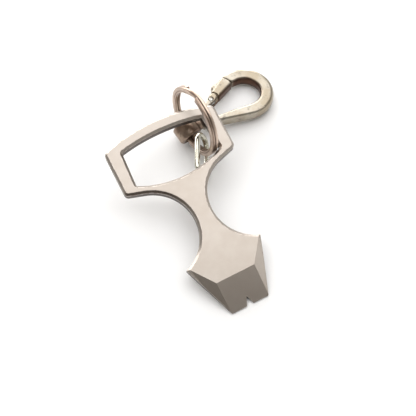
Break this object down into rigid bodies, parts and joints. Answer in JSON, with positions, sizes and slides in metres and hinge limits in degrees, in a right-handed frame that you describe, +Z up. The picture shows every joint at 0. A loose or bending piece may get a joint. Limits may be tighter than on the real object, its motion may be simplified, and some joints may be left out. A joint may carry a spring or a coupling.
{
  "type": "keychain bottle opener",
  "caption": "Flat metal bottle opener with a pry-wedge end and a framed loop, carried on a split ring with a plain oval link and a swivel snap hook.",
  "frame": {"origin": "bottom centre of the bounding box, on the table the bunch lies on", "axes": "+Y from the wedge tip towards the loop and ring, +Z up, +X towards the snap hook"},
  "size_m": [0.0631, 0.0763, 0.0265],
  "materials": {
    "blasted_titanium": "bead-blasted, warm grey",
    "ring_steel": "tumbled, warm grey",
    "link_steel": "polished",
    "hook_metal": "satin, tan grey",
    "pin_steel": "ground"
  },
  "bodies": {
    "opener": {"opener_body": "blasted_titanium"},
    "ring": {"split_ring": "ring_steel"},
    "link": {"oval_link": "link_steel"},
    "eye": {"swivel_eye": "hook_metal"},
    "hook": {"hook_body": "hook_metal", "gate_pin": "pin_steel", "gate_spring": "pin_steel"},
    "gate": {"hook_gate": "hook_metal"}
  },
  "joints": [
    {"name": "ring_swing", "type": "hinge", "parent": "opener", "child": "ring", "pos_m": [-0.0012, 0.02117, 0.01481], "axis": [0.9842, 0.111, -0.138], "range_deg": [-5, 80]},
    {"name": "link_swing", "type": "hinge", "parent": "ring", "child": "link", "pos_m": [-0.00196, 0.01352, 0.00524], "axis": [-0.165, 0.861, -0.481], "range_deg": [-40, 40]},
    {"name": "eye_swing", "type": "hinge", "parent": "ring", "child": "eye", "pos_m": [-0.00257, 0.02328, 0.00476], "axis": [-0.163, 0.9258, 0.3409], "range_deg": [-30, 40]},
    {"name": "hook_swivel", "type": "hinge", "parent": "eye", "child": "hook", "pos_m": [-0.00257, 0.02328, 0.00476], "axis": [0.9774, 0.1991, -0.071], "continuous": true},
    {"name": "gate_swing", "type": "hinge", "parent": "hook", "child": "gate", "pos_m": [0.00968, 0.03011, 0.0038], "axis": [-0.07, -0.014, -0.9974], "range_deg": [0, 30], "stiffness_Nm_per_rad": 0.004, "springref_deg": -28.65}
  ]
}
